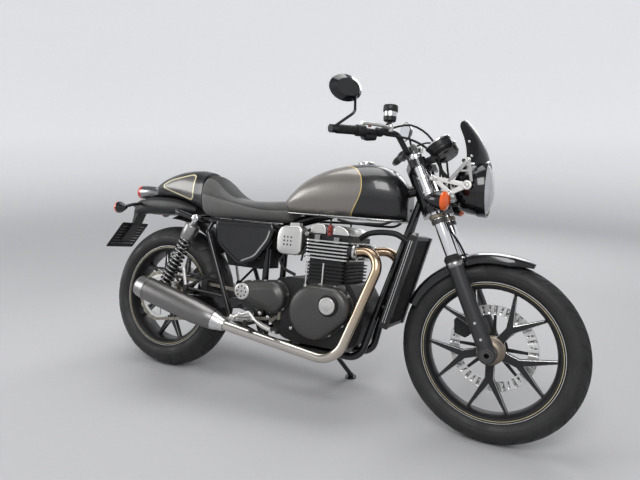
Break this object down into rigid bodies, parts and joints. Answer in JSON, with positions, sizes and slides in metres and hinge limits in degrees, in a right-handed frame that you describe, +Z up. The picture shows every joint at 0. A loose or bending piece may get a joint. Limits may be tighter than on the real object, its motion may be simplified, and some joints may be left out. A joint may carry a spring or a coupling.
{
  "type": "cafe racer motorcycle",
  "caption": "Cafe racer motorcycle with a parallel twin engine, humped seat, fly screen and twin silencers, parked on its side stand",
  "frame": {"origin": "on the floor, below the middle of the machine's extents as it stands parked", "axes": "+X towards the front wheel, +Y to the machine's left, the side it leans to, +Z up"},
  "size_m": [2.1407, 0.8745, 1.2838],
  "materials": {
    "tyre": "matt tread rubber",
    "wheel_black": "satin black cast alloy",
    "disc_steel": "ground steel",
    "fork_grey": "satin dark grey",
    "chrome": "polished",
    "frame_black": "gloss black",
    "rubber": "matt",
    "trim_black": "satin black",
    "paint_black": "gloss black",
    "paint_graphite": "metallic graphite and gloss black with a gold line",
    "lamp_glass": "clear",
    "lamp_red": "red",
    "cast_black": "satin black cast alloy",
    "cast_grey": "satin dark grey",
    "brushed_alloy": "brushed",
    "pipe_steel": "brushed",
    "chain_steel": "oiled",
    "seat_cover": "grey suede",
    "plate_white": "blank"
  },
  "bodies": {
    "chassis": {"frame": "frame_black", "fuel_tank": "paint_graphite", "tank_cap": "chrome", "seat": "seat_cover", "tail_cowl": "paint_black", "rear_mudguard": "trim_black", "number_plate": "plate_white", "tail_lamp": "lamp_red", "rear_indicators": "trim_black", "swingarm": "frame_black", "rear_caliper": "cast_black", "shocks": "chrome", "chain": "chain_steel", "chain_guard": "trim_black", "engine_cases": "cast_grey", "engine_covers": "cast_grey", "cylinders": "cast_black", "cam_covers": "brushed_alloy", "airbox": "trim_black", "throttle_covers": "brushed_alloy", "side_panels": "paint_black", "exhaust_headers": "pipe_steel", "silencers": "pipe_steel", "radiator": "frame_black", "footrests": "brushed_alloy"},
    "steering": {"fork_lowers": "fork_grey", "fork_tubes": "chrome", "yokes": "frame_black", "handlebar": "frame_black", "grips": "rubber", "hand_controls": "frame_black", "mirrors": "trim_black", "headlamp": "paint_black", "headlamp_lens": "lamp_glass", "headlamp_brackets": "frame_black", "fly_screen": "trim_black", "instruments": "trim_black", "front_caliper": "cast_black", "front_mudguard": "paint_black", "front_indicators": "trim_black"},
    "front_wheel_set": {"front_tyre": "tyre", "front_wheel": "wheel_black", "front_disc": "disc_steel"},
    "rear_wheel_set": {"rear_tyre": "tyre", "rear_wheel": "wheel_black", "rear_disc": "disc_steel", "rear_sprocket": "disc_steel"},
    "stand": {"side_stand": "frame_black"}
  },
  "joints": [
    {"name": "steering", "type": "hinge", "parent": "chassis", "child": "steering", "pos_m": [0.45957, -0.05128, 0.85132], "axis": [-0.4112, 0.1895, 0.8916], "range_deg": [-32, 32]},
    {"name": "front_wheel", "type": "hinge", "parent": "steering", "child": "front_wheel_set", "pos_m": [0.75176, -0.16574, 0.31284], "axis": [0, 0.9781, -0.2079], "continuous": true},
    {"name": "rear_wheel", "type": "hinge", "parent": "chassis", "child": "rear_wheel_set", "pos_m": [-0.68324, -0.16512, 0.31573], "axis": [0, 0.9781, -0.2079], "continuous": true},
    {"name": "side_stand", "type": "hinge", "parent": "chassis", "child": "stand", "pos_m": [0.05172, -0.05832, 0.18335], "axis": [0.1398, 0.9159, 0.3762], "range_deg": [0, 112]}
  ]
}
